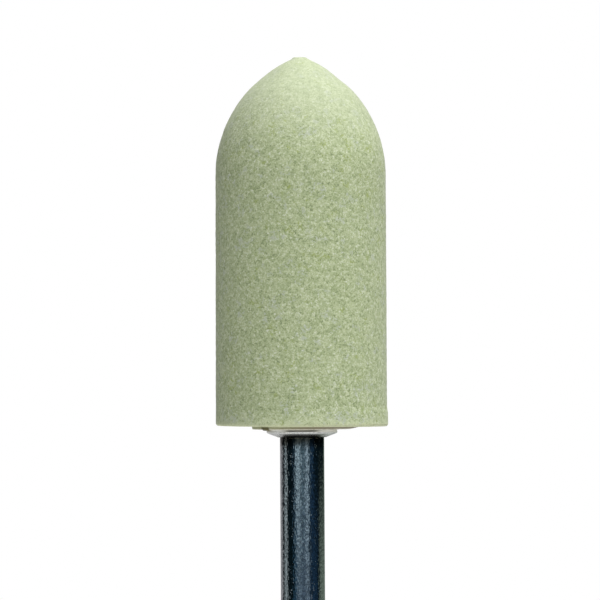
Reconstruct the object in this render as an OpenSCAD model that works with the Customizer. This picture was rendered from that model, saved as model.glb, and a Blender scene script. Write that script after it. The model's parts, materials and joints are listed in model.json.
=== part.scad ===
// Mounted point: a bullet-shaped bonded abrasive head on a steel mandrel.
// The axis is +Z, the mandrel's free end lies on z = 0 and the tip points up. Millimetres.

/* [Shank] */
// Diameter of the pin that the collet grips
shank_d = 3; // [2:0.05:4]
// Free length of the pin, from its end to the underside of the collar
shank_len = 30; // [15:0.5:60]
// Chamfer on both ends of the pin
pin_chamfer = 0.3; // [0.1:0.05:0.5]

/* [Collar] */
// How far the upset collar stands out from the pin
collar_w = 0.9; // [0.6:0.05:1.4]
// Height of the collar
collar_h = 0.48; // [0.4:0.02:0.9]
// Radius of the rounded rim
rim_r = 0.11; // [0.06:0.01:0.16]
// Width of the flat step between the pin and the sloping underside
collar_step = 0.14; // [0.05:0.01:0.3]

/* [Head] */
// Diameter at the base, the widest place
head_d = 11.7; // [9:0.1:16]
// Length from the rim of the base to the tip
head_len = 25; // [18:0.5:40]
// Mould draft of the straight side, in degrees
draft = 0.22; // [0:0.02:1]
// Radius of the arc that runs from the straight side to the tip
nose_r = 8.6; // [7.2:0.1:14]
// Diameter of the flat on the tip
tip_d = 0.86; // [0.4:0.02:1.6]
// Height of the small nub that carries the tip's flat
tip_h = 0.13; // [0.05:0.01:0.3]
// Bevel on the rim of the base
rim_bevel = 0.12; // [0.05:0.01:0.4]
// Diameter of the raised pad under the head
pad_d = 7.1; // [6.4:0.1:8.4]
// Height of the raised pad
pad_h = 0.22; // [0.1:0.02:0.6]

/* [Bond] */
// Length of the pin inside the head
stub_len = 15; // [8:0.5:16]
// Gap between the pin and the bore, which the adhesive fills
bond_gap = 0.1; // [0.05:0.01:0.25]
// Gap left past the end of the pin
end_gap = 0.4; // [0.2:0.05:1]
// Angle of the cone at the end of the bore, in degrees
drill_angle = 118; // [90:1:140]
// Thickness of the adhesive film between the collar and the pad
film_h = 0.06; // [0.03:0.01:0.15]
// Width of the fillet of adhesive around the collar's rim
fillet_w = 0.12; // [0.05:0.01:0.2]
// How far the fillet was squeezed out to one side
fillet_shift = 0.18; // [0:0.01:0.3]
// Number of keying grooves around the pin
groove_count = 5; // [2:1:6]
// Depth of a keying groove
groove_depth = 0.2; // [0.05:0.01:0.3]
// Width of a keying groove at the surface of the pin
groove_w = 0.8; // [0.4:0.05:1.2]

/* [Hidden] */
$fn = 96;
rim_steps = 12;       // straight steps that make up the collar's rounded rim
cut_margin = 1;       // how far a cutting shape runs past the face that it opens

steel = "#8f9499";
amber = "#8a7b4c";
pale_green = "#aab68f";

// Radii that follow from the pin
pin_rad = shank_d / 2;
collar_rad = pin_rad + collar_w;
step_rad = pin_rad + collar_step;
bore_rad = pin_rad + bond_gap;

// Heights, from the free end of the pin up
z_collar = shank_len;
z_seat = z_collar + collar_h;
z_pad = z_seat + film_h;
z_base = z_pad + pad_h;
z_tip = z_base + head_len;
z_pin_top = z_seat + stub_len;
z_bore_end = z_pin_top + end_gap;

// The nose's arc is tangent to the straight side's top and ends at the foot of the tip's nub
tip_foot_rad = tip_d / 2 + tip_h;
nose_z = z_tip - tip_h;
function shoulder_rad(side_len) = head_d / 2 - tan(draft) * side_len;
function nose_len(wide) = let (drop = wide - tip_foot_rad) sqrt(nose_r ^ 2 - (nose_r - drop) ^ 2);
side_len = head_len - tip_h - nose_len(head_d / 2);
shoulder = shoulder_rad(side_len);
z_shoulder = nose_z - nose_len(shoulder);

// Points on an arc about a centre, from one angle to another
function arc(centre, radius, from, to, steps) =
    [for (i = [0 : steps])
        let (a = from + (to - from) * i / steps)
        centre + radius * [cos(a), sin(a)]];

// Angle of the point where a line from p touches the outer, lower side of a circle
function touch_angle(p, centre, radius) =
    let (v = centre - p)
    atan2(v.y, v.x) - 180 + acos(radius / norm(v));

// Outline of the collar's outside, from the pin's surface below to the seat above
function collar_outline() =
    let (
        foot = [step_rad, z_collar],
        centre = [collar_rad - rim_r, z_seat - rim_r]
    )
    concat(
        [[pin_rad, z_collar], foot],
        arc(centre, rim_r, touch_angle(foot, centre, rim_r), 90, rim_steps));

// Outline of the pin inside the head, with its keying grooves spread evenly along it. The lowest
// one relieves the corner above the collar, and all have flanks at 45 degrees
function stub_outline() =
    let (pitch = stub_len / groove_count)
    concat(
        [for (i = [0 : groove_count - 1], corner = [
            [0, 0], [groove_depth, groove_depth],
            [groove_depth, groove_w - groove_depth], [0, groove_w]])
            [pin_rad - corner.x, z_seat + pitch * i + corner.y]],
        [[pin_rad, z_pin_top - pin_chamfer], [pin_rad - pin_chamfer, z_pin_top]]);

// The mandrel's half section
function mandrel_outline() =
    concat(
        [[0, 0], [pin_rad - pin_chamfer, 0], [pin_rad, pin_chamfer]],
        collar_outline(),
        stub_outline(),
        [[0, z_pin_top]]);

// Steel pin with an upset collar below the head and keying grooves inside it
module mandrel() {
    color(steel)
        rotate_extrude()
            polygon(mandrel_outline());
}

// Drilled hole for the pin, open at the pad
module bore() {
    translate([0, 0, z_pad - cut_margin])
        cylinder(r = bore_rad, h = z_bore_end - z_pad + cut_margin);
    translate([0, 0, z_bore_end])
        cylinder(r1 = bore_rad, r2 = 0, h = bore_rad / tan(drill_angle / 2));
}

// Half section of the straight side, with the bevel on the rim of the base
module side_section() {
    bevel_rad = head_d / 2 - tan(draft) * rim_bevel;
    polygon([
        [0, z_base],
        [head_d / 2 - rim_bevel, z_base],
        [bevel_rad, z_base + rim_bevel],
        [shoulder, z_shoulder],
        [0, z_shoulder]]);
}

// Half section of the nose: the arc, and on its top the nub, whose sides slope at 45 degrees
module nose_section() {
    intersection() {
        translate([shoulder - nose_r, z_shoulder])
            circle(r = nose_r);
        translate([0, z_base])
            square([head_d, nose_z + tip_h / 2 - z_base]);
    }
    polygon([
        [0, nose_z - tip_h],
        [tip_foot_rad + tip_h, nose_z - tip_h],
        [tip_d / 2, z_tip],
        [0, z_tip]]);
}

// Half section of the raised pad that the collar seats against, rooted in the base
module pad_section() {
    translate([0, z_pad])
        square([pad_d / 2, pad_h + rim_bevel]);
}

// Bullet-shaped abrasive, moulded in one piece, with a blind bore
module abrasive_head() {
    color(pale_green)
        difference() {
            rotate_extrude() {
                side_section();
                nose_section();
                pad_section();
            }
            bore();
        }
}

// Cured adhesive: it fills the bore around the pin and the seat, and stands out round the collar
module adhesive() {
    color(amber)
        difference() {
            union() {
                intersection() {
                    bore();
                    translate([0, 0, z_pad])
                        cylinder(r = bore_rad + cut_margin, h = z_tip - z_pad);
                }
                translate([-fillet_shift, 0, z_seat - rim_r])
                    cylinder(r1 = collar_rad, r2 = collar_rad + fillet_w, h = rim_r + film_h);
            }
            mandrel();
        }
}

mandrel();
adhesive();
abrasive_head();
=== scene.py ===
"""Mounted point: a bullet-shaped bonded abrasive head, glued on a steel mandrel.

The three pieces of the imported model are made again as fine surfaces, carried round the common axis:
the head with its grain, its lip and its uneven pad, the mandrel with its collar and keying grooves, and
the cured adhesive with its bead. Every length is in metres, and azimuths run from +X towards +Y.
"""

import itertools
import json
import math

import bpy
import numpy as np
from bpy.props import FloatProperty, FloatVectorProperty, IntProperty, PointerProperty
from bpy.types import NodeSocket, Operator, Panel, PropertyGroup
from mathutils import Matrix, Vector


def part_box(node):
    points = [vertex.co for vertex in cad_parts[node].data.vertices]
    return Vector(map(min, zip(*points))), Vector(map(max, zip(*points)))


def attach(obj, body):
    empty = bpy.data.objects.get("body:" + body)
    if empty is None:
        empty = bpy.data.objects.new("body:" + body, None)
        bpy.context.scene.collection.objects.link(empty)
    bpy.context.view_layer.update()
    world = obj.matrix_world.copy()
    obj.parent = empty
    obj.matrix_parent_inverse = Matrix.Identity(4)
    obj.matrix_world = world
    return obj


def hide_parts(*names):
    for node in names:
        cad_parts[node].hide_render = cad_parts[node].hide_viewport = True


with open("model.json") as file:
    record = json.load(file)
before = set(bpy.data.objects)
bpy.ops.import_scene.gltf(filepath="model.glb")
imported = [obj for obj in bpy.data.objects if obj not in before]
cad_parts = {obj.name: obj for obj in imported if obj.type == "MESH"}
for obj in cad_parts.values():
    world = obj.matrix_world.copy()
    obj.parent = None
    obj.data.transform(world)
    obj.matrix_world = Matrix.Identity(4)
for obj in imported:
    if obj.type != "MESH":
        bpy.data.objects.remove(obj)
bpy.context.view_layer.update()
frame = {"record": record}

bl_info = {
    "name": "Mounted Point",
    "version": (1, 0, 0),
    "blender": (4, 5, 0),
    "location": "3D View > Sidebar > Mounted Point",
    "description": "Builds a bonded abrasive point on its steel mandrel, with its studio",
    "category": "Add Mesh",
}

MM = 0.001
HEAD_LOW, HEAD_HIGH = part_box("abrasive_head")
PIN_LOW, PIN_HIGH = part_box("mandrel")
GLUE_LOW, GLUE_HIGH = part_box("adhesive")
SHANK = frame["record"]["mounts"][0]["dims"]
BODY = "root"


def length(name, description, default):
    """A size in metres that a user can change."""
    return FloatProperty(name=name, description=description, default=default, min=0.0, precision=6,
                         unit="LENGTH", subtype="DISTANCE")


def tint(name, description, default):
    """A colour that a user can change."""
    return FloatVectorProperty(name=name, description=description, default=default, size=3,
                               min=0.0, max=1.0, subtype="COLOR")


def level(name, description, default):
    """The brightness that a white face gets from a lamp that it faces."""
    return FloatProperty(name=name, description=description, default=default, min=0.0, precision=3)


class HeadSettings(PropertyGroup):
    """Sizes and colours of the abrasive head"""

    nose_radius: length("Nose radius", "Radius of the arc from the straight side to the tip", 8.6 * MM)
    shoulder_radius: length("Shoulder radius", "Radius at the top of the straight side", 5.785 * MM)
    tip_radius: length("Tip radius", "Radius of the flat on the tip", 0.43 * MM)
    nub_height: length("Nub height", "Height of the nub that carries the flat", 0.13 * MM)
    nub_shift: length("Nub shift", "How far the nub stands off the axis", 0.035 * MM)
    hollow_depth: length("Hollow depth", "Depth of the hollow in the nose's flank", 0.09 * MM)
    hollow_drop: length("Hollow drop", "From the tip down to the middle of that hollow", 1.4 * MM)
    rim_bevel: length("Rim bevel", "Bevel on the rim of the base", 0.12 * MM)
    base_skew: length("Base skew", "How far the base's rim hangs lower on one side", 0.045 * MM)
    lip_height: length("Lip height", "Height of the moulded lip on one side of the base", 1.3 * MM)
    lip_depth: length("Lip depth", "How far the lip stands out", 0.058 * MM)
    pad_radius: length("Pad radius", "Mean radius of the raised pad", 3.53 * MM)
    pad_height: length("Pad height", "Height of the raised pad", 0.22 * MM)
    pad_shift: length("Pad shift", "How far the pad stands off the axis", 0.14 * MM)
    pad_taper: length("Pad taper", "Width of the pad's slope on its flat side", 0.7 * MM)
    bore_radius: length("Bore radius", "Radius of the drilled hole", 1.6 * MM)
    bore_end: length("Bore end", "Height at which the drilled cone starts", 45.88 * MM)
    bore_tip: length("Bore tip", "Height of the drilled cone's point", GLUE_HIGH.z)
    grain_size: length("Grain size", "Spacing of the coarse abrasive grains", 0.34 * MM)
    grain_depth: length("Grain depth", "Depth of the hollows between the grains", 0.03 * MM)
    speck_size: length("Speck size", "Spacing of the finer grains that the colour shows", 0.185 * MM)
    wave_size: length("Wave size", "Spacing of the unevenness left by the mould", 1.4 * MM)
    wave_depth: length("Wave depth", "Depth of that unevenness", 0.015 * MM)
    light_colour: tint("Light grain", "Colour of the palest grains", (0.54, 0.60, 0.375))
    dark_colour: tint("Dark grain", "Colour of the darkest grains", (0.295, 0.36, 0.18))
    flake_colour: tint("Flake", "Colour of the scattered white flakes", (0.66, 0.70, 0.60))
    grey_colour: tint("Grey", "Colour of the scattered grey grains", (0.445, 0.495, 0.375))
    olive_colour: tint("Olive", "Colour of the scattered olive spots", (0.33, 0.40, 0.14))
    pit_colour: tint("Pit", "Colour of the scattered dark pits", (0.20, 0.245, 0.13))
    # The tip's colour is painted light and sheen: it makes the tip paler and greyer where the top softbox
    # falls
    tip_sheen_colour: tint("Tip", "Colour of the smoother, paler tip", (0.48, 0.525, 0.38))
    rim_colour: tint("Rim", "Colour of the worn rim of the base", (0.68, 0.69, 0.42))
    # The pad edge's colour is an adhesive stain with painted shade from the base's overhang
    stain_and_shade_colour: tint("Stain", "Colour that the adhesive gives the pad's edge", (0.21, 0.18, 0.10))
    smear_colour: tint("Smear", "Colour of the milky smear on the pad", (0.70, 0.67, 0.56))
    spot_colour: tint("Resin spot", "Colour of the resin spot on the pad", (0.13, 0.115, 0.045))


class MandrelSettings(PropertyGroup):
    """Sizes and colours of the steel mandrel"""

    pin_radius: length("Pin radius", "Radius of the shank", SHANK["r_mm"] * MM)
    chamfer: length("Chamfer", "Chamfer on both ends of the pin", 0.3 * MM)
    collar_bottom: length("Collar bottom", "Height of the collar's underside", 30.0 * MM)
    collar_top: length("Collar top", "Height of the seat on the collar", 30.48 * MM)
    collar_radius: length("Collar radius", "Radius of the collar", PIN_HIGH.x)
    rim_radius: length("Rim radius", "Radius of the collar's rounded rim", 0.11 * MM)
    step: length("Step", "Width of the flat step under the collar", 0.14 * MM)
    groove_count: IntProperty(name="Grooves", description="Number of keying grooves", default=5, min=1)
    groove_width: length("Groove width", "Width of a keying groove", 0.8 * MM)
    groove_depth: length("Groove depth", "Depth of a keying groove", 0.2 * MM)
    pit_size: length("Pit size", "Spacing of the fine pits in the steel", 0.125 * MM)
    bright_colour: tint("Bright steel", "Colour of the polished steel", (0.66, 0.68, 0.70))
    dull_colour: tint("Dull steel", "Colour of the steel in the pits", (0.35, 0.37, 0.385))
    nick_colour: tint("Nicks", "Colour of the steel in the bright nicks", (0.95, 0.96, 0.97))
    collar_colour: tint("Collar", "Colour of the satin collar", (0.80, 0.81, 0.78))
    # The collar rim's colour is a painted highlight along the rim
    rim_colour: tint("Collar rim", "Colour of the collar's bright rim", (0.97, 0.97, 0.95))
    # Brown tarnish with painted shade under the collar; the same colour paints the dark line of shade on the
    # rim's front
    stain_and_shade_colour: tint("Stain", "Colour of the tarnish under the collar", (0.07, 0.06, 0.045))


class AdhesiveSettings(PropertyGroup):
    """Sizes and colours of the cured adhesive"""

    bead_reach: length("Bead reach", "How far the bead stands out on its thick side", -GLUE_LOW.x)
    film_reach: length("Film reach", "How far the film stands out on its thin side", 2.335 * MM)
    bulge: length("Bulge", "How far the film and the bead swell outwards", 0.035 * MM)
    drop: length("Drop", "How far the bead sags on its thick side", 0.075 * MM)
    film_colour: tint("Film", "Colour of the thin film where it is milky", (0.84, 0.835, 0.77))
    # The film's colour at the front and back is painted shade
    film_shade_colour: tint("Clear film", "Colour of the thin film where it is clear", (0.48, 0.46, 0.38))
    amber_colour: tint("Amber", "Colour of the clear resin in the bead", (0.26, 0.22, 0.09))
    olive_colour: tint("Olive", "Colour of resin mixed with abrasive dust", (0.19, 0.185, 0.10))


class StageSettings(PropertyGroup):
    """Light, floor and camera"""

    front_level: level("Front lamp", "Light from the front", 0.405)
    top_level: level("Top lamp", "Light from the softbox above", 1.48)
    fill_level: level("Fill", "Even light from all round", 0.18)
    lamp_distance: length("Lamp distance", "From the head to each lamp", 600 * MM)
    lamp_size: length("Lamp size", "Width of each lamp", 450 * MM)
    floor_radius: length("Floor radius", "Radius of the floor, which fades out at its edge", 300 * MM)
    card_distance: length("Card distance", "From the axis to the cards that the steel reflects", 40 * MM)
    camera_distance: length("Camera distance", "From the axis to the camera", 600 * MM)
    camera_height: length("Camera height", "Height of the camera", 39.3 * MM)
    camera_offset: length("Camera offset", "How far the camera stands to the left", 0.087 * MM)
    camera_roll: FloatProperty(name="Camera roll", description="Lean of the camera", subtype="ANGLE",
                               default=math.radians(0.32))
    camera_lens: FloatProperty(name="Lens", description="Focal length in millimetres", default=531.0)


def around(columns):
    """Azimuths of the columns of a surface of revolution."""
    return np.arange(columns) * (2 * math.pi / columns)


def point(radius, height):
    """A point of an outline: radius and height, each one number or one for every column."""
    return np.stack(np.broadcast_arrays(np.atleast_1d(radius), np.atleast_1d(height)), axis=-1)


def stretch(start, end, step):
    """Straight stretch of an outline, without its end: start + (end - start) * k / n."""
    run = end - start
    count = max(1, math.ceil(np.linalg.norm(run, axis=-1).max() / step))
    share = np.arange(count)[:, None, None] / count
    return start + run * share


def chain(corners, step):
    """Straight stretches through corners, without the last of them."""
    return [stretch(start, end, step) for start, end in zip(corners, corners[1:])]


def arc(centre, radius, first, last, step):
    """Round stretch of an outline, without its end: centre + radius * (cos a, sin a), where the angle a
    runs from first to last."""
    count = max(1, math.ceil(abs(last - first) * radius / step))
    angle = first + (last - first) * np.arange(count) / count
    return (np.array(centre) + radius * np.stack([np.cos(angle), np.sin(angle)], axis=-1))[:, None]


def join(stretches, columns):
    """Joins stretches to one outline: an array of rings, columns and (radius, height)."""
    return np.concatenate([np.broadcast_to(part, (len(part), columns, 2)) for part in stretches])


def soften(outline, lowest, passes):
    """Rounds the corners of an outline above a height: a few times over, each point b between its
    neighbours a and c moves to (a + 2b + c) / 4."""
    count = np.count_nonzero((outline[..., 1] > lowest).all(axis=1))
    for _ in range(passes):
        outline[1:count] = (outline[:count - 1] + 2 * outline[1:count] + outline[2:count + 1]) / 4
    return outline


def outline_normals(outline):
    """Unit normals of an outline that runs from the tip outwards and down: (-dz, dr) of its tangent."""
    tangent = np.gradient(outline, axis=0)
    normal = np.stack([-tangent[..., 1], tangent[..., 0]], axis=-1)
    return normal / np.linalg.norm(normal, axis=-1, keepdims=True)


def revolve(outline):
    """Carries an outline round the axis: (r cos a, r sin a, z) in each column's azimuth a."""
    azimuth = around(outline.shape[1])
    radius, height = outline[..., 0], outline[..., 1]
    return np.stack([radius * np.cos(azimuth), radius * np.sin(azimuth), height], axis=-1)


def smooth(value, low, high):
    """Smoothstep: 0 up to low, 1 from high on, 3t^2 - 2t^3 in between."""
    share = np.clip((value - low) / (high - low), 0, 1)
    return share * share * (3 - 2 * share)


NOISE_PERIOD = 64     # cells after which a noise repeats


def lattice_noise(points, size, seed):
    """Soft unevenness from 0 to 1: random values on a cubic lattice, blended between its corners by
    smoothstep."""
    values = np.random.default_rng(seed).random((NOISE_PERIOD,) * 3)
    low = np.floor(points / size).astype(int)
    share = smooth(points / size - low, 0, 1)
    total = np.zeros(points.shape[:-1])
    for corner in itertools.product((0, 1), repeat=3):
        weight = np.where(corner, share, 1 - share).prod(axis=-1)
        total += weight * values[tuple(np.moveaxis((low + corner) % NOISE_PERIOD, -1, 0))]
    return total


def grain_noise(points, size, seed):
    """Packed round grains from 0 to 1: one grain at a random place in each cell of a cubic lattice, and a
    height of 1 - d^2, where d is the distance to the nearest grain's centre in cells, cut off at 0."""
    places = np.random.default_rng(seed).random((NOISE_PERIOD,) * 3 + (3,))
    cell = points / size
    low = np.floor(cell).astype(int)
    nearest = np.full(points.shape[:-1], np.inf)
    for offset in itertools.product((-1, 0, 1), repeat=3):
        index = low + offset
        centre = index + places[tuple(np.moveaxis(index % NOISE_PERIOD, -1, 0))]
        nearest = np.minimum(nearest, ((cell - centre) ** 2).sum(axis=-1))
    return np.clip(1 - nearest, 0, 1)


def ring_quads(count, columns):
    """Corners of the quads between neighbouring rings, where the last column meets the first."""
    here = np.arange(columns)
    there = (here + 1) % columns
    row = np.arange(count - 1)[:, None] * columns
    quads = np.stack([row + here, row + columns + here, row + columns + there, row + there], axis=-1)
    return quads.reshape(-1, 4)


def closed_mesh(name, rings, first_pole, last_pole):
    """Mesh of rings of points, shape (rings, columns, 3), with quads between neighbouring rings and a fan
    to a pole on the axis at either end. Rings that run from the top outwards and down face outwards."""
    count, columns = rings.shape[:2]
    points = np.concatenate([rings.reshape(-1, 3), [(0, 0, first_pole), (0, 0, last_pole)]])
    here = np.arange(columns)
    there = (here + 1) % columns
    last = (count - 1) * columns
    quads = ring_quads(count, columns)
    first_fan = np.stack([np.full(columns, count * columns), here, there], axis=-1)
    last_fan = np.stack([last + here, np.full(columns, count * columns + 1), last + there], axis=-1)
    corners = np.concatenate([quads.ravel(), first_fan.ravel(), last_fan.ravel()])
    sides = np.concatenate([np.full(len(quads), 4), np.full(2 * columns, 3)])

    mesh = bpy.data.meshes.new(name)
    mesh.vertices.add(len(points))
    mesh.vertices.foreach_set("co", points.astype(np.float32).ravel())
    mesh.loops.add(len(corners))
    mesh.loops.foreach_set("vertex_index", corners.astype(np.int32))
    mesh.polygons.add(len(sides))
    mesh.polygons.foreach_set("loop_start", (np.cumsum(sides) - sides).astype(np.int32))
    mesh.update(calc_edges=True)
    if mesh.validate():
        raise RuntimeError(f"the mesh of {name} has faults")
    return mesh


def add_object(name, data):
    """Links new data to the scene as an object at the origin."""
    made = bpy.data.objects.new(name, data)
    bpy.context.scene.collection.objects.link(made)
    return made


def add_piece(name, mesh, material, node, sharp_angle):
    """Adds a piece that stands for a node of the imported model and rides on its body."""
    mesh.shade_smooth()
    mesh.set_sharp_from_angle(angle=sharp_angle)
    mesh.materials.append(material)
    piece = add_object(name, mesh)
    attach(piece, BODY)
    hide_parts(node)
    return piece


HEAD_COLUMNS = 304
HEAD_STEP = 0.118 * MM
EDGE_STEP = 0.06 * MM
HIDDEN_STEP = 2.0 * MM
HEAD_SHARP = math.radians(60)
FIRST_RING = 0.1              # radius of the first ring, as a share of the tip's flat
NUB_PASSES = 3
HOLLOW_SPREAD = 0.4           # half width of the nose's hollow, as a share of its drop
TIP_ZONE = (4.5 * MM, 0.5 * MM)
TIP_CALM = 0.6                # share of the relief that is gone at the tip
RIM_ZONE = (0.3 * MM, 1.1 * MM)
RIM_CALM = 0.55               # share of the relief that is gone at the rim
GRAIN_SEED = 11
WAVE_SEED = 12


def head_outline(head):
    """Outline of the head: across the tip's flat, down the nub, the nose's arc and the straight side, out
    over the lip, in over the bevel, the underside and the pad, and up the bore. The base hangs lowest at
    +X, the lip is widest there and gone at -X, and the pad is shifted towards +X, where its edge slopes
    gently. The nub's corners are rounded."""
    sway = np.cos(around(HEAD_COLUMNS))
    right = 0.5 + 0.5 * sway
    base = HEAD_LOW.z + head.pad_height - head.base_skew * sway
    nose_top = HEAD_HIGH.z - head.nub_height
    foot = head.tip_radius + head.nub_height
    inset = head.nose_radius - head.shoulder_radius
    nose_height = math.sqrt(head.nose_radius ** 2 - (inset + foot) ** 2)
    shoulder = nose_top - nose_height
    nose_angle = math.atan2(nose_height, foot + inset)

    lip_top = base + head.lip_height
    lip = head.lip_depth * right ** 3
    edge = head.pad_radius + head.pad_shift * sway
    slope = EDGE_STEP + head.pad_taper * right ** 2
    tip_edge = point(head.tip_radius - head.nub_shift * sway, HEAD_HIGH.z)
    above_lip = point(HEAD_HIGH.x - lip, lip_top)
    below_lip = point(HEAD_HIGH.x, lip_top - 3 * HEAD_STEP)
    bevel_top = point(HEAD_HIGH.x, base + head.rim_bevel)
    bevel_end = point(HEAD_HIGH.x - head.rim_bevel, base)
    pad_foot = point(edge + slope / 2, base)
    pad_edge = point(edge - slope / 2, HEAD_LOW.z)
    bore_mouth = point(head.bore_radius, HEAD_LOW.z)
    bore_end = point(head.bore_radius, head.bore_end)
    outline = join([
        stretch(point(FIRST_RING * head.tip_radius, HEAD_HIGH.z), tip_edge, EDGE_STEP),
        stretch(tip_edge, point(foot, nose_top), EDGE_STEP),
        arc((-inset, shoulder), head.nose_radius, nose_angle, 0, HEAD_STEP),
        stretch(point(head.shoulder_radius, shoulder), above_lip, HEAD_STEP),
        *chain([above_lip, below_lip, bevel_top], HEAD_STEP),
        stretch(bevel_top, bevel_end, EDGE_STEP),
        stretch(bevel_end, pad_foot, HEAD_STEP),
        stretch(pad_foot, pad_edge, 2 * EDGE_STEP),
        stretch(pad_edge, bore_mouth, HEAD_STEP),
        stretch(bore_mouth, bore_end, HIDDEN_STEP),
        bore_end[None],
    ], HEAD_COLUMNS)
    return soften(outline, HEAD_HIGH.z - 4 * head.nub_height, NUB_PASSES)


def head_rings(head):
    """Rings of the head. Each point sinks along its normal by grain_depth * (1 - grain) + wave_depth *
    wave, so that nothing stands out of the moulded form. The grain is weaker at the tip and the rim, and
    stops in the bore. The hollow in the nose's flank is a bell curve of the height, deeper at +X than at
    -X."""
    outline = head_outline(head)
    points = revolve(outline)
    radius, height = outline[..., 0], outline[..., 1]
    base = HEAD_LOW.z + head.pad_height
    off_hollow = HEAD_HIGH.z - head.hollow_drop - height
    bell = np.exp(-(off_hollow / (HOLLOW_SPREAD * head.hollow_drop)) ** 2)
    hollow = head.hollow_depth * bell * (0.7 + 0.3 * np.cos(around(HEAD_COLUMNS)))
    tip_zone = smooth(height, HEAD_HIGH.z - TIP_ZONE[0], HEAD_HIGH.z - TIP_ZONE[1])
    rim_zone = 1 - smooth(height, base + RIM_ZONE[0], base + RIM_ZONE[1])
    outside = np.where(radius > head.bore_radius + HEAD_STEP, 1.0, 0.0)
    outside = np.maximum(outside, height > head.bore_tip + HEAD_STEP)
    strength = outside * (1 - TIP_CALM * tip_zone) * (1 - RIM_CALM * rim_zone)
    grain = grain_noise(points, head.grain_size, GRAIN_SEED)
    wave = lattice_noise(points, head.wave_size, WAVE_SEED)
    sunk = strength * (head.grain_depth * (1 - grain) + head.wave_depth * wave) + hollow
    return revolve(outline - outline_normals(outline) * sunk[..., None])


MANDREL_COLUMNS = 192
MANDREL_SHARP = math.radians(30)
FINE_STEP = 0.02 * MM
CORNER_STEP = 0.08 * MM
COARSE_STEP = 0.5 * MM


def groove_points(mandrel):
    """Corners of the keying grooves from the top of the pin down to the seat, with 45 degree flanks."""
    pitch = (PIN_HIGH.z - mandrel.collar_top) / mandrel.groove_count
    inner = mandrel.pin_radius - mandrel.groove_depth
    for groove in reversed(range(mandrel.groove_count)):
        bottom = mandrel.collar_top + pitch * groove
        yield point(mandrel.pin_radius, bottom + mandrel.groove_width)
        yield point(inner, bottom + mandrel.groove_width - mandrel.groove_depth)
        yield point(inner, bottom + mandrel.groove_depth)
        yield point(mandrel.pin_radius, bottom)


def stub_points(mandrel):
    """Corners of the pin inside the head, from the edge of its end down to the collar's seat."""
    return [
        point(mandrel.pin_radius - mandrel.chamfer, PIN_HIGH.z),
        point(mandrel.pin_radius, PIN_HIGH.z - mandrel.chamfer),
        *groove_points(mandrel),
    ]


def collar_rim(mandrel):
    """Centre of the collar's rounded rim, and the angle at which the sloping underside touches it."""
    rim_radius = mandrel.rim_radius
    centre = np.array([mandrel.collar_radius - rim_radius, mandrel.collar_top - rim_radius])
    foot = np.array([mandrel.pin_radius + mandrel.step, mandrel.collar_bottom])
    away = centre - foot
    touch = math.atan2(away[1], away[0]) - math.pi + math.acos(rim_radius / np.linalg.norm(away))
    return centre, touch


def mandrel_rings(mandrel):
    """Rings of the mandrel: down the grooved pin, out over the collar's seat, round its rim, in under it to
    the step, and down the shank to the chamfered end."""
    centre, touch = collar_rim(mandrel)
    seat_edge = point(centre[0], mandrel.collar_top)
    touch_point = point(*(centre + mandrel.rim_radius * np.array([math.cos(touch), math.sin(touch)])))
    foot = point(mandrel.pin_radius + mandrel.step, mandrel.collar_bottom)
    under = point(mandrel.pin_radius, mandrel.collar_bottom)
    shank_end = point(mandrel.pin_radius, PIN_LOW.z + mandrel.chamfer)
    end = point(mandrel.pin_radius - mandrel.chamfer, PIN_LOW.z)
    outline = join([
        *chain([*stub_points(mandrel), seat_edge], COARSE_STEP),
        arc(centre, mandrel.rim_radius, math.pi / 2, touch, FINE_STEP),
        *chain([touch_point, foot, under], CORNER_STEP),
        stretch(under, shank_end, COARSE_STEP),
        stretch(shank_end, end, CORNER_STEP),
        end[None],
    ], MANDREL_COLUMNS)
    return revolve(outline)


ADHESIVE_COLUMNS = 256
ADHESIVE_SHARP = math.radians(50)
BEAD_STEPS = 10
BEAD_LUMPS = ((3, 0.4, 0.03), (5, 1.9, 0.025), (11, 0.7, 0.012))     # count round the rim, turn, size
THICK_CONTACT = 80            # angle on the rim, in degrees, where the bead ends on its thick side
THIN_CONTACT = 45             # and where the film ends on the thin side


def bead_swell(azimuth):
    """Share of the bead's full width: ((1 - cos a) / 2)^3, so widest at -X, with a few sine lumps, which
    roughen the thin side too."""
    swell = (0.5 - 0.5 * np.cos(azimuth)) ** 3
    lumps = sum(size * np.sin(count * azimuth + turn) for count, turn, size in BEAD_LUMPS)
    return np.clip(swell * (1 + lumps) + np.abs(lumps) * 0.2, 0, 1)


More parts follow.
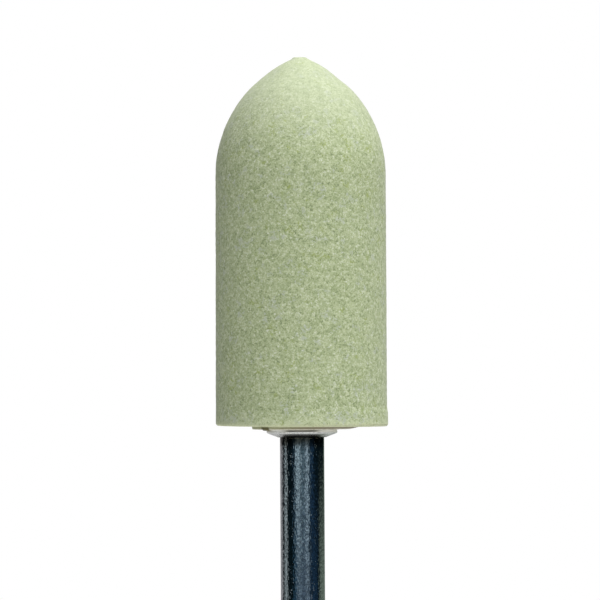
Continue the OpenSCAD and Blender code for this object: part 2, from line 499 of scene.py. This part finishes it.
def adhesive_rings(glue, mandrel, head):
    """Rings of the adhesive: down the drilled cone and the wall of the bore, out over the film to the bead,
    round the bead, and back along the collar and the grooved pin to the end of the pin. The bead's section
    runs from the pad at t = 0 to the collar's rim at t = 1, swells outwards by sin(pi t), and on its thick
    side sags into a drop by sin(pi t^0.6)."""
    azimuth = around(ADHESIVE_COLUMNS)
    swell = bead_swell(azimuth)
    centre, _ = collar_rim(mandrel)
    thin = (0.5 + 0.5 * np.cos(azimuth)) ** 2
    contact = np.radians(THICK_CONTACT + (THIN_CONTACT - THICK_CONTACT) * thin)
    touch = centre + mandrel.rim_radius * np.stack([np.cos(contact), np.sin(contact)], axis=-1)
    outer = glue.film_reach + (glue.bead_reach - glue.film_reach) * swell
    film_top = point(outer, HEAD_LOW.z)
    climb = (np.arange(BEAD_STEPS) / BEAD_STEPS)[:, None]
    sag = glue.drop * swell * np.sin(math.pi * climb ** 0.6)
    bead = point(outer + (touch[:, 0] - outer) * climb + glue.bulge * np.sin(math.pi * climb),
                 HEAD_LOW.z + (touch[:, 1] - HEAD_LOW.z) * climb - sag)
    lean = contact + (math.pi / 2 - contact) * climb
    rim = centre + mandrel.rim_radius * np.stack([np.cos(lean), np.sin(lean)], axis=-1)
    bore_end = point(head.bore_radius, head.bore_end)
    bore_mouth = point(head.bore_radius, HEAD_LOW.z)
    inner = [point(centre[0], mandrel.collar_top), *reversed(stub_points(mandrel))]
    outline = join([
        *chain([bore_end, bore_mouth, film_top], COARSE_STEP),
        bead,
        rim,
        *chain(inner, COARSE_STEP),
        inner[-1][None],
    ], ADHESIVE_COLUMNS)
    return revolve(outline)


def add_node(tree, kind, inputs=None, **options):
    """Adds a node with options, and gives each input that is named or numbered a value or a link."""
    made = tree.nodes.new(kind)
    made.location = (180 * len(tree.nodes), 0)
    for option, value in options.items():
        setattr(made, option, value)
    for socket, value in (inputs or {}).items():
        if isinstance(value, NodeSocket):
            tree.links.new(value, made.inputs[socket])
        else:
            made.inputs[socket].default_value = value
    return made


def calculate(tree, operation, *values):
    """Result of a Math node."""
    return add_node(tree, "ShaderNodeMath", dict(enumerate(values)), operation=operation).outputs[0]


def both(tree, first, second):
    """Where two masks meet: their product."""
    return calculate(tree, "MULTIPLY", first, second)


def fade(tree, value, low, high, to_low=0.0, to_high=1.0):
    """Result of a smooth Map Range node from one range to another."""
    inputs = {"Value": value, "From Min": low, "From Max": high, "To Min": to_low, "To Max": to_high}
    return add_node(tree, "ShaderNodeMapRange", inputs, interpolation_type="SMOOTHSTEP").outputs[0]


def between(tree, share, first, second):
    """Result of a Mix node between two numbers."""
    return add_node(tree, "ShaderNodeMix", {0: share, 2: first, 3: second}).outputs[0]


def blend(tree, share, first, second):
    """Result of a Mix node between two colours, each a link or three numbers."""
    first, second = (c if isinstance(c, NodeSocket) else (*c, 1.0) for c in (first, second))
    return add_node(tree, "ShaderNodeMix", {0: share, 6: first, 7: second}, data_type="RGBA").outputs[2]


def speckle_group():
    """Node group for grains, pits and dust: cells of a given size, with a tone of their own and a domed
    height."""
    tree = bpy.data.node_groups.get("Speckle")
    if tree:
        return tree
    tree = bpy.data.node_groups.new("Speckle", "ShaderNodeTree")
    tree.interface.new_socket("Vector", in_out="INPUT", socket_type="NodeSocketVector")
    tree.interface.new_socket("Size", in_out="INPUT", socket_type="NodeSocketFloat")
    tree.interface.new_socket("Tone", in_out="OUTPUT", socket_type="NodeSocketFloat")
    tree.interface.new_socket("Height", in_out="OUTPUT", socket_type="NodeSocketFloat")
    entry = add_node(tree, "NodeGroupInput")
    scale = calculate(tree, "DIVIDE", 1.0, entry.outputs["Size"])
    place = add_node(tree, "ShaderNodeVectorMath", {0: entry.outputs["Vector"], "Scale": scale},
                     operation="SCALE").outputs[0]
    cells = add_node(tree, "ShaderNodeTexVoronoi", {"Vector": place, "Scale": 1.0, "Smoothness": 0.35},
                     feature="SMOOTH_F1")
    cell_tone = add_node(tree, "ShaderNodeSeparateColor", {0: cells.outputs["Color"]}).outputs[0]
    cloud = add_node(tree, "ShaderNodeTexNoise", {"Vector": place, "Scale": 1.7, "Detail": 2.0})
    cloud_tone = fade(tree, cloud.outputs[0], 0.3, 0.7)
    tone = between(tree, 0.45, cell_tone, cloud_tone)
    dome = calculate(tree, "SUBTRACT", 1.0, cells.outputs["Distance"])
    height = calculate(tree, "MULTIPLY_ADD", cloud.outputs[0], 0.5, dome)
    add_node(tree, "NodeGroupOutput", {"Tone": tone, "Height": height})
    return tree


def speckle(tree, place, size):
    """Places the Speckle group with a size of its own, and gives its Tone and Height."""
    made = add_node(tree, "ShaderNodeGroup", node_tree=speckle_group())
    tree.links.new(place, made.inputs["Vector"])
    made.inputs["Size"].default_value = size
    return made.outputs["Tone"], made.outputs["Height"]


def start_material(name):
    """A new material's node tree, its Principled shader, its Object coordinates and their X, Y and Z."""
    material = bpy.data.materials.new(name)
    material.use_nodes = True
    tree = material.node_tree
    shader = tree.nodes["Principled BSDF"]
    place = add_node(tree, "ShaderNodeTexCoord").outputs["Object"]
    axes = add_node(tree, "ShaderNodeSeparateXYZ", {0: place}).outputs
    return material, tree, shader, place, axes


def emptied_tree(owner):
    """The node tree of a new material or world, with nothing in it."""
    owner.use_nodes = True
    owner.node_tree.nodes.clear()
    return owner.node_tree


def add_bump(tree, shader, height, distance):
    """Fine relief under the mesh's own, of the given height in metres."""
    bump = add_node(tree, "ShaderNodeBump", {"Height": height, "Distance": distance, "Strength": 1.0})
    tree.links.new(bump.outputs[0], shader.inputs["Normal"])


RESIN_SPOT = (-2.5 * MM, -2.3 * MM, HEAD_LOW.z)
GRAIN_RELIEF = 0.012 * MM
STEEL_RELIEF = 0.012 * MM
RESIN_RELIEF = 0.006 * MM
DRAWN_OUT = (1.0, 1.0, 0.5)   # marks are twice as long along the pin
CLOUD_SIZE = 0.3 * MM         # spacing of the dust in the resin


def abrasive_material(head):
    """Bonded green grains: pale and dark ones, scattered grey grains, white flakes, olive spots and dark
    pits, a paler band at the base, a tip painted paler and greyer as the top softbox's light and sheen,
    and a pad whose edge carries an adhesive stain with painted shade from the base's overhang, most
    towards +X, with a milky smear round the collar and one dark spot of resin."""
    material, tree, shader, place, axes = start_material("bonded_abrasive")
    base = HEAD_LOW.z + head.pad_height
    grain_tone, grain_height = speckle(tree, place, head.speck_size)
    dust_tone, dust_height = speckle(tree, place, 0.5 * head.speck_size)
    patch_tone, _ = speckle(tree, place, 5 * head.speck_size)

    tone = calculate(tree, "MULTIPLY", grain_tone, 0.55)
    tone = calculate(tree, "MULTIPLY_ADD", dust_tone, 0.45, tone)
    base_band = fade(tree, axes["Z"], base + 1.0 * MM, base + 0.1 * MM, 0.0, 0.2)
    tone = calculate(tree, "ADD", tone, base_band)
    share = add_node(tree, "ShaderNodeMapRange", {"Value": tone, "From Min": 0.26, "From Max": 0.74})
    colour = blend(tree, share.outputs[0], head.dark_colour, head.light_colour)
    olive = both(tree, fade(tree, patch_tone, 0.68, 0.85), fade(tree, grain_tone, 0.5, 0.2))
    colour = blend(tree, olive, colour, head.olive_colour)
    grey = both(tree, fade(tree, patch_tone, 0.36, 0.16), fade(tree, grain_tone, 0.4, 0.7))
    colour = blend(tree, grey, colour, head.grey_colour)
    flake = both(tree, fade(tree, dust_tone, 0.66, 0.8), fade(tree, grain_tone, 0.6, 0.8))
    colour = blend(tree, flake, colour, head.flake_colour)
    pit = both(tree, fade(tree, dust_tone, 0.34, 0.2), fade(tree, grain_tone, 0.4, 0.2))
    colour = blend(tree, pit, colour, head.pit_colour)
    # Painted light and sheen: the tip turns paler and greyer towards the top, where the top softbox falls
    tip_zone = fade(tree, axes["Z"], HEAD_HIGH.z - 7.5 * MM, HEAD_HIGH.z - 1.5 * MM, 0.0, 0.5)
    colour = blend(tree, tip_zone, colour, head.tip_sheen_colour)
    rim = fade(tree, axes["Z"], base + 0.25 * MM, base + 0.1 * MM, 0.0, 0.4)
    colour = blend(tree, rim, colour, head.rim_colour)

    flat = add_node(tree, "ShaderNodeCombineXYZ", {"X": axes["X"], "Y": axes["Y"]}).outputs[0]
    radius = add_node(tree, "ShaderNodeVectorMath", {0: flat}, operation="LENGTH").outputs["Value"]
    # Adhesive stain with painted shade from the base's overhang on the pad's edge, darkest towards +X
    side = fade(tree, axes["X"], -2.4 * MM, 0.6 * MM, 0.55, 1.0)
    pad_zone = fade(tree, axes["Z"], base - 0.01 * MM, base - 0.06 * MM)
    pad_edge = fade(tree, radius, head.pad_radius - 0.6 * MM, head.pad_radius - 0.3 * MM)
    stain_and_shade = both(tree, side, both(tree, pad_zone, pad_edge))
    colour = blend(tree, stain_and_shade, colour, head.stain_and_shade_colour)
    near_collar = fade(tree, radius, head.pad_radius - 0.5 * MM, head.pad_radius - 0.8 * MM)
    pad_foot = fade(tree, axes["Z"], HEAD_LOW.z + 0.08 * MM, HEAD_LOW.z + 0.04 * MM)
    smear = both(tree, pad_zone, calculate(tree, "MAXIMUM", near_collar, pad_foot))
    smear = both(tree, smear, fade(tree, grain_tone, 0.2, 0.6, 0.4, 1.0))
    colour = blend(tree, smear, colour, head.smear_colour)
    off_spot = add_node(tree, "ShaderNodeVectorMath", {0: place, 1: RESIN_SPOT}, operation="DISTANCE")
    spot = both(tree, pad_zone, fade(tree, off_spot.outputs["Value"], 0.5 * MM, 0.3 * MM))
    colour = blend(tree, spot, colour, head.spot_colour)

    tree.links.new(colour, shader.inputs["Base Color"])
    tree.links.new(fade(tree, grain_tone, 0.0, 1.0, 0.92, 0.78), shader.inputs["Roughness"])
    shader.inputs["Sheen Weight"].default_value = 0.1
    shader.inputs["Sheen Roughness"].default_value = 0.5
    relief = calculate(tree, "MULTIPLY_ADD", dust_height, 0.5, grain_height)
    add_bump(tree, shader, relief, GRAIN_RELIEF)
    return material


def steel_material(mandrel):
    """Drawn steel: fine bright and dull spots, fainter towards the end that a collet has polished, and a
    few nicks over long shallow draw marks, a satin collar whose rim carries a painted highlight, with a
    painted dark line of shade and reflection on the front of that rim, and a brown tarnish with painted
    shade in the corner under the collar, whose painted shade reaches up the collar's underside at the
    front and the back."""
    material, tree, shader, place, axes = start_material("drawn_steel")
    bottom = mandrel.collar_bottom
    pit_tone, _ = speckle(tree, place, mandrel.pit_size)
    cloud_tone, _ = speckle(tree, place, 5 * mandrel.pit_size)
    drawn = add_node(tree, "ShaderNodeVectorMath", {0: place, 1: DRAWN_OUT}, operation="MULTIPLY")
    mark_tone, mark_height = speckle(tree, drawn.outputs[0], mandrel.pit_size)

    contrast = fade(tree, axes["Z"], 0.3 * bottom, 0.62 * bottom, 0.3, 1.0)
    pits = between(tree, contrast, 0.45, fade(tree, pit_tone, 0.65, 0.3))
    colour = blend(tree, pits, mandrel.bright_colour, mandrel.dull_colour)
    nicks = fade(tree, mark_tone, 0.82, 0.94)
    colour = blend(tree, nicks, colour, mandrel.nick_colour)
    # Brown tarnish with painted shade in the corner under the collar, its lower edge made ragged by the cloud
    ragged_height = calculate(tree, "MULTIPLY_ADD", cloud_tone, -0.3 * MM, axes["Z"])
    tarnish_and_shade = fade(tree, ragged_height, bottom - 1.15 * MM, bottom - 0.3 * MM, 0.0, 0.95)
    colour = blend(tree, tarnish_and_shade, colour, mandrel.stain_and_shade_colour)

    off_front = calculate(tree, "ABSOLUTE", axes["X"])
    # Painted shade: at the front and the back the dark of the corner reaches up the collar's underside, while
    # the sides take the collar's colour
    collar_foot = fade(tree, axes["Z"], bottom, bottom + 0.05 * MM)
    flank = both(tree, collar_foot, fade(tree, off_front, 0.8 * MM, 1.9 * MM))
    collar = calculate(tree, "MAXIMUM", fade(tree, axes["Z"], bottom, bottom + 0.4 * MM), flank)
    colour = blend(tree, collar, colour, mandrel.collar_colour)
    # Painted highlight along the collar's rim
    rim = fade(tree, axes["Z"], bottom + 0.27 * MM, bottom + 0.36 * MM)
    colour = blend(tree, rim, colour, mandrel.rim_colour)
    # Painted shade and dark reflection: a dark line on the rim, only at the front, on the -Y side
    crease_height = mandrel.collar_top - 0.35 * mandrel.rim_radius
    off_crease = calculate(tree, "ABSOLUTE", calculate(tree, "SUBTRACT", axes["Z"], crease_height))
    crease = both(tree, fade(tree, off_crease, 0.055 * MM, 0.025 * MM),
                  fade(tree, off_front, 1.3 * MM, 0.8 * MM, 0.0, 0.95))
    crease = both(tree, crease, fade(tree, axes["Y"], 0.0, -mandrel.pin_radius))
    colour = blend(tree, crease, colour, mandrel.stain_and_shade_colour)

    tree.links.new(colour, shader.inputs["Base Color"])
    rough = calculate(tree, "MULTIPLY_ADD", pits, 0.04, 0.08)
    rough = calculate(tree, "MULTIPLY_ADD", collar, 0.2, rough)
    tree.links.new(rough, shader.inputs["Roughness"])
    tree.links.new(fade(tree, collar, 0.0, 1.0, 1.0, 0.4), shader.inputs["Metallic"])
    relief = calculate(tree, "MULTIPLY_ADD", nicks, 0.4, mark_height)
    below_collar = fade(tree, axes["Z"], bottom, bottom - 0.1 * MM)
    add_bump(tree, shader, both(tree, relief, below_collar), STEEL_RELIEF)
    return material


def adhesive_material(glue):
    """Cured resin: a thin milky film with painted shade on it at the front and back, and a bead in amber and
    olive with abrasive dust in it, with a soft gloss."""
    material, tree, shader, place, axes = start_material("cured_resin")
    cloud_tone, cloud_height = speckle(tree, place, CLOUD_SIZE)
    # Painted shade on the film at the front and the back; the sides keep the milky colour
    milky = fade(tree, calculate(tree, "ABSOLUTE", axes["X"]), 0.8 * MM, 1.5 * MM)
    film = blend(tree, milky, glue.film_shade_colour, glue.film_colour)
    bead = fade(tree, axes["X"], -1.9 * MM, -2.3 * MM)
    resin = blend(tree, cloud_tone, glue.amber_colour, glue.olive_colour)
    tree.links.new(blend(tree, bead, film, resin), shader.inputs["Base Color"])
    tree.links.new(fade(tree, cloud_tone, 0.2, 0.8, 0.28, 0.5), shader.inputs["Roughness"])
    shader.inputs["Coat Weight"].default_value = 0.2
    add_bump(tree, shader, cloud_height, RESIN_RELIEF)
    return material


WHITE = (1.0, 1.0, 1.0, 1.0)
FLOOR_GREY = (0.62, 0.62, 0.62, 1.0)
FLOOR_COLUMNS = 96
FLOOR_RINGS = 12


def floor_material(stage):
    """Pale floor that keeps the shadow, fades out at its edge, is white in reflections and hides from
    below."""
    material = bpy.data.materials.new("pale_floor")
    tree = emptied_tree(material)
    place = add_node(tree, "ShaderNodeTexCoord").outputs["Object"]
    radius = add_node(tree, "ShaderNodeVectorMath", {0: place}, operation="LENGTH").outputs["Value"]
    edge = fade(tree, radius, 0.5 * stage.floor_radius, 0.97 * stage.floor_radius)
    below = add_node(tree, "ShaderNodeNewGeometry").outputs["Backfacing"]
    gone = calculate(tree, "MAXIMUM", edge, below)
    matt = add_node(tree, "ShaderNodeBsdfDiffuse", {"Color": FLOOR_GREY}).outputs[0]
    white = add_node(tree, "ShaderNodeEmission", {"Strength": 1.0}).outputs[0]
    clear = add_node(tree, "ShaderNodeBsdfTransparent").outputs[0]
    mirrored = add_node(tree, "ShaderNodeLightPath").outputs["Is Glossy Ray"]
    shown = add_node(tree, "ShaderNodeMixShader", {0: mirrored, 1: matt, 2: white}).outputs[0]
    faded = add_node(tree, "ShaderNodeMixShader", {0: gone, 1: shown, 2: clear}).outputs[0]
    add_node(tree, "ShaderNodeOutputMaterial", {"Surface": faded})
    return material


def card_material():
    """Plain light of the colour that each card's column holds."""
    material = bpy.data.materials.new("reflection_cards")
    tree = emptied_tree(material)
    colour = add_node(tree, "ShaderNodeVertexColor", layer_name="card_colour").outputs["Color"]
    light = add_node(tree, "ShaderNodeEmission", {"Color": colour, "Strength": 1.0}).outputs[0]
    add_node(tree, "ShaderNodeOutputMaterial", {"Surface": light})
    return material


def build_world(stage):
    """White for the camera and in reflections, and an even fill for everything else."""
    world = bpy.data.worlds.new("studio")
    bpy.context.scene.world = world
    tree = emptied_tree(world)
    rays = add_node(tree, "ShaderNodeLightPath").outputs
    seen = calculate(tree, "ADD", rays["Is Camera Ray"], rays["Is Glossy Ray"])
    seen = calculate(tree, "ADD", seen, rays["Is Transmission Ray"])
    seen = calculate(tree, "MINIMUM", seen, 1.0)
    fill, white = (add_node(tree, "ShaderNodeBackground", {"Color": WHITE, "Strength": strength}).outputs[0]
                   for strength in (stage.fill_level, 1.0))
    mixed = add_node(tree, "ShaderNodeMixShader", {0: seen, 1: fill, 2: white}).outputs[0]
    add_node(tree, "ShaderNodeOutputWorld", {"Surface": mixed})


def build_floor(stage):
    """Round floor at the height of the shank's end: rings of radius floor_radius * (k / n)^2."""
    radius = stage.floor_radius * (np.arange(1, FLOOR_RINGS + 1) / FLOOR_RINGS) ** 2
    rings = revolve(join([point(radius, PIN_LOW.z)[:, None]], FLOOR_COLUMNS))
    faces = [list(range(FLOOR_COLUMNS)), *ring_quads(FLOOR_RINGS, FLOOR_COLUMNS).tolist()]
    mesh = bpy.data.meshes.new("floor")
    mesh.from_pydata(rings.reshape(-1, 3).tolist(), [], faces)
    mesh.materials.append(floor_material(stage))
    add_object("floor", mesh)


# Cards round the shank, in front of black cloth. Bearings run from the camera's side towards the right, in
# degrees. Each card has the bearings of its edges at its top and at its foot, and its colours there
CLOTH = (0.004, 0.010, 0.013)
CARDS = (
    ("grey_card", (-174, -127), (-174, -126), (0.36, 0.36, 0.37), (0.36, 0.36, 0.37)),
    ("pale_strip", (-100, -90), (-109, -85), (0.52, 0.61, 0.63), (0.286, 0.336, 0.347)),
    ("teal_flag", (-46, -43), (-46, -29), (0.026, 0.066, 0.105), (0.024, 0.066, 0.11)),
    ("blue_card", (-39, 38), (-29, 38), (0.092, 0.148, 0.178), (0.08, 0.118, 0.165)),
    ("left_strip", (-34, -10), (-22, -12), (0.345, 0.455, 0.505), (0.13, 0.188, 0.24)),
    ("right_strip", (19, 29), (19, 28), (0.48, 0.61, 0.69), (0.163, 0.225, 0.28)),
    ("navy_flag", (42, 60), (44, 84), (0.0155, 0.04, 0.077), (0.0147, 0.038, 0.073)),
    ("green_card", (150, 170), (97, 170), (0.195, 0.25, 0.20), (0.175, 0.225, 0.18)),
    ("backdrop", (176, 200), (176, 200), (1.0, 1.0, 1.0), (1.0, 1.0, 1.0)),
    ("backdrop", (-200, -178), (-200, -178), (1.0, 1.0, 1.0), (1.0, 1.0, 1.0)),
)
CARD_SOFTNESS = 4.0           # half width of a card's soft edge, in degrees
CARD_COLUMNS = 720

# Rows of the ring of cards from the floor up: height, share of the full distance from the shank, share of
# the way from a card's top to its foot, and share of white that the floor lends
CARD_ROWS = (
    (0.0, 0.4, 1.0, 0.85),
    (6 * MM, 0.6, 1.0, 0.35),
    (13 * MM, 0.83, 1.0, 0.0),
    (18 * MM, 1.0, 1.0, 0.0),
    (27.8 * MM, 1.0, 0.0, 0.0),
    (68 * MM, 1.0, 0.0, 0.0),
)


def build_cards(stage):
    """Ring of cards that only reflections show: a cylinder, drawn in like a funnel towards the floor. Its
    colour is the cloth's, and each card's between its soft edges, which lean from their bearings at the
    top to those at the foot. It turns paler towards the white floor."""
    bearing = (np.arange(CARD_COLUMNS) + 0.5) * 360 / CARD_COLUMNS - 180
    turn = np.radians(bearing)
    height, spread, low, glow = np.array(CARD_ROWS).T[..., None]
    away = stage.card_distance * spread
    points = np.stack(np.broadcast_arrays(away * np.sin(turn), -away * np.cos(turn), height), axis=-1)
    colour = np.broadcast_to(CLOTH, points.shape)
    for _, top, foot, top_paint, foot_paint in CARDS:
        start, end = (high_edge + (low_edge - high_edge) * low for high_edge, low_edge in zip(top, foot))
        mask = smooth(bearing, start - CARD_SOFTNESS, start + CARD_SOFTNESS)
        mask = mask * (1 - smooth(bearing, end - CARD_SOFTNESS, end + CARD_SOFTNESS))
        paint = np.array(top_paint) + (np.array(foot_paint) - top_paint) * low[..., None]
        colour = colour + (paint - colour) * mask[..., None]
    colour = colour + (1 - colour) * glow[..., None]

    mesh = bpy.data.meshes.new("reflection_cards")
    quads = ring_quads(len(CARD_ROWS), CARD_COLUMNS)
    mesh.from_pydata(points.reshape(-1, 3).tolist(), [], quads.tolist())
    layer = mesh.color_attributes.new("card_colour", "FLOAT_COLOR", "POINT")
    opaque = np.concatenate([colour, np.ones_like(colour[..., :1])], axis=-1)
    layer.data.foreach_set("color", opaque.astype(np.float32).ravel())
    mesh.materials.append(card_material())
    cards = add_object("reflection_cards", mesh)
    cards.visible_camera = False
    cards.visible_diffuse = False
    cards.visible_transmission = False
    cards.visible_volume_scatter = False
    cards.visible_shadow = False


# Each lamp's name, its bearing from the camera's side towards the right and its elevation, both in degrees,
# and the setting that holds its level
LAMPS = (("front_lamp", 10, 20, "front_level"), ("top_softbox", 75, 75, "top_level"))


def build_lamps(stage):
    """Square soft lamps that face the head. One that gives a facing white surface the level L has the
    power L * pi^2 * distance^2."""
    target = (HEAD_LOW + HEAD_HIGH) / 2
    for name, bearing, elevation, setting in LAMPS:
        turn, rise = math.radians(bearing), math.radians(elevation)
        reach = math.cos(rise)
        away = Vector((math.sin(turn) * reach, -math.cos(turn) * reach, math.sin(rise)))
        lamp = bpy.data.lights.new(name, "AREA")
        lamp.size = stage.lamp_size
        lamp.energy = getattr(stage, setting) * (math.pi * stage.lamp_distance) ** 2
        made = add_object(name, lamp)
        made.location = target + away * stage.lamp_distance
        made.rotation_euler = (-away).to_track_quat("-Z", "Y").to_euler()
        made.visible_camera = False
        made.visible_glossy = False


def build_camera(stage):
    """Long lens, level with the lower half of the head, that leans a little as in a hand-held picture."""
    camera = bpy.data.cameras.new("camera")
    camera.lens = stage.camera_lens
    camera.clip_start = 0.1 * stage.camera_distance
    made = add_object("camera", camera)
    made.location = (-stage.camera_offset, -stage.camera_distance, stage.camera_height)
    made.rotation_euler = (math.pi / 2, stage.camera_roll, 0)
    bpy.context.scene.camera = made


class MOUNTED_POINT_OT_build_mandrel(Operator):
    """Build the steel mandrel with its collar and keying grooves"""

    bl_idname = "mounted_point.build_mandrel"
    bl_label = "Build Mandrel"
    bl_options = {"REGISTER", "UNDO"}

    def execute(self, context):
        mandrel = context.scene.mounted_point_mandrel
        mesh = closed_mesh("steel_mandrel", mandrel_rings(mandrel), PIN_HIGH.z, PIN_LOW.z)
        material = steel_material(mandrel)
        add_piece("steel_mandrel", mesh, material, "mandrel", MANDREL_SHARP)
        return {"FINISHED"}


class MOUNTED_POINT_OT_build_adhesive(Operator):
    """Build the cured adhesive between the mandrel and the head, with its bead round the collar"""

    bl_idname = "mounted_point.build_adhesive"
    bl_label = "Build Adhesive"
    bl_options = {"REGISTER", "UNDO"}

    def execute(self, context):
        scene = context.scene
        glue = scene.mounted_point_adhesive
        rings = adhesive_rings(glue, scene.mounted_point_mandrel, scene.mounted_point_head)
        mesh = closed_mesh("cured_adhesive", rings, GLUE_HIGH.z, PIN_HIGH.z)
        material = adhesive_material(glue)
        add_piece("cured_adhesive", mesh, material, "adhesive", ADHESIVE_SHARP)
        return {"FINISHED"}


class MOUNTED_POINT_OT_build_head(Operator):
    """Build the abrasive head with its grain, its raised pad and its bore"""

    bl_idname = "mounted_point.build_head"
    bl_label = "Build Abrasive Head"
    bl_options = {"REGISTER", "UNDO"}

    def execute(self, context):
        head = context.scene.mounted_point_head
        mesh = closed_mesh("grinding_head", head_rings(head), HEAD_HIGH.z, head.bore_tip)
        material = abrasive_material(head)
        add_piece("grinding_head", mesh, material, "abrasive_head", HEAD_SHARP)
        return {"FINISHED"}


class MOUNTED_POINT_OT_build_stage(Operator):
    """Build the white surroundings, the floor, the cards that the steel reflects, the lamps and the camera"""

    bl_idname = "mounted_point.build_stage"
    bl_label = "Build Stage"
    bl_options = {"REGISTER", "UNDO"}

    def execute(self, context):
        stage = context.scene.mounted_point_stage
        build_world(stage)
        build_floor(stage)
        build_cards(stage)
        build_lamps(stage)
        build_camera(stage)
        context.scene.view_settings.view_transform = "Standard"
        return {"FINISHED"}


SECTIONS = (
    ("mounted_point_mandrel", MandrelSettings, "mounted_point.build_mandrel"),
    ("mounted_point_adhesive", AdhesiveSettings, "mounted_point.build_adhesive"),
    ("mounted_point_head", HeadSettings, "mounted_point.build_head"),
    ("mounted_point_stage", StageSettings, "mounted_point.build_stage"),
)


class MOUNTED_POINT_PT_panel(Panel):
    """Sizes, colours and build buttons of the mounted point"""

    bl_idname = "MOUNTED_POINT_PT_panel"
    bl_label = "Mounted Point"
    bl_space_type = "VIEW_3D"
    bl_region_type = "UI"
    bl_category = "Mounted Point"

    def draw(self, context):
        for name, group, operator in SECTIONS:
            box = self.layout.box()
            for prop in group.__annotations__:
                box.prop(getattr(context.scene, name), prop)
            box.operator(operator)


CLASSES = (
    HeadSettings,
    MandrelSettings,
    AdhesiveSettings,
    StageSettings,
    MOUNTED_POINT_OT_build_mandrel,
    MOUNTED_POINT_OT_build_adhesive,
    MOUNTED_POINT_OT_build_head,
    MOUNTED_POINT_OT_build_stage,
    MOUNTED_POINT_PT_panel,
)


def register():
    """Registers the classes and gives every scene their settings."""
    for cls in CLASSES:
        bpy.utils.register_class(cls)
    for name, group, _ in SECTIONS:
        setattr(bpy.types.Scene, name, PointerProperty(type=group))


def unregister():
    """Takes back what register did."""
    for name, _, _ in SECTIONS:
        delattr(bpy.types.Scene, name)
    for cls in reversed(CLASSES):
        bpy.utils.unregister_class(cls)


def main():
    """Builds every piece and the stage."""
    register()
    bpy.ops.mounted_point.build_mandrel()
    bpy.ops.mounted_point.build_adhesive()
    bpy.ops.mounted_point.build_head()
    bpy.ops.mounted_point.build_stage()


if __name__ == "__main__":
    main()
